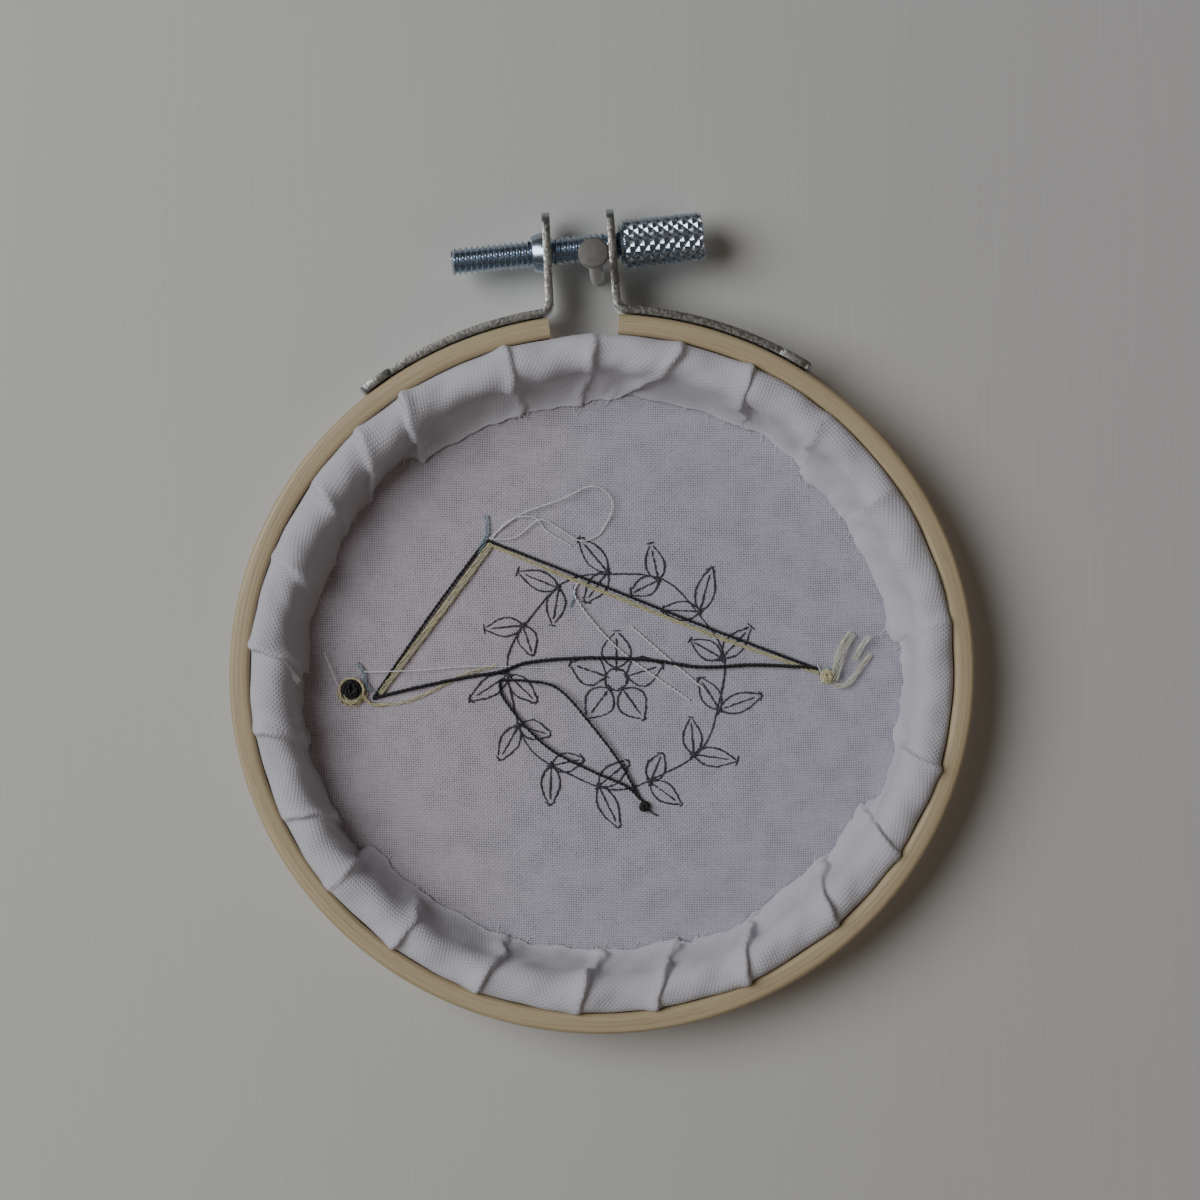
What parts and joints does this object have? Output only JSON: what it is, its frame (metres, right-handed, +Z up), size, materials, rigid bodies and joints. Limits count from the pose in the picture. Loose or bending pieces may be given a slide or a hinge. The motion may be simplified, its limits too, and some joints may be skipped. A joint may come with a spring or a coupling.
{
  "type": "embroidery hoop art hanging on a nail",
  "caption": "Stitched cotton stretched in a split bamboo hoop, its pleated back outwards, hanging by its clamp screw on a flat-headed nail.",
  "frame": {"origin": "middle of the nail's cut end, in the plane of the wall it is driven into", "axes": "+Z up; +Y out of the nail's end, into the wall; -Y towards the viewer, who sees the back of the work; +X to the viewer's right"},
  "size_m": [0.1051, 0.0191, 0.1168],
  "materials": {
    "bamboo": "plain pale bamboo, unvarnished",
    "white_cotton": "open plain weave",
    "zinc_steel": "zinc plated, satin",
    "dull_steel": "dull grey"
  },
  "bodies": {
    "hoop": {"outer_ring": "bamboo", "inner_ring": "bamboo", "cloth": "white_cotton", "bracket_left": "zinc_steel", "bracket_right": "zinc_steel", "nail": "dull_steel"},
    "thumbscrew": {"thumbscrew": "zinc_steel"}
  },
  "joints": [
    {"name": "screw_turn", "type": "hinge", "parent": "hoop", "child": "thumbscrew", "pos_m": [-0.00253, -0.0055, 0.00367], "axis": [0.9945, 0, 0.1045], "continuous": true}
  ]
}
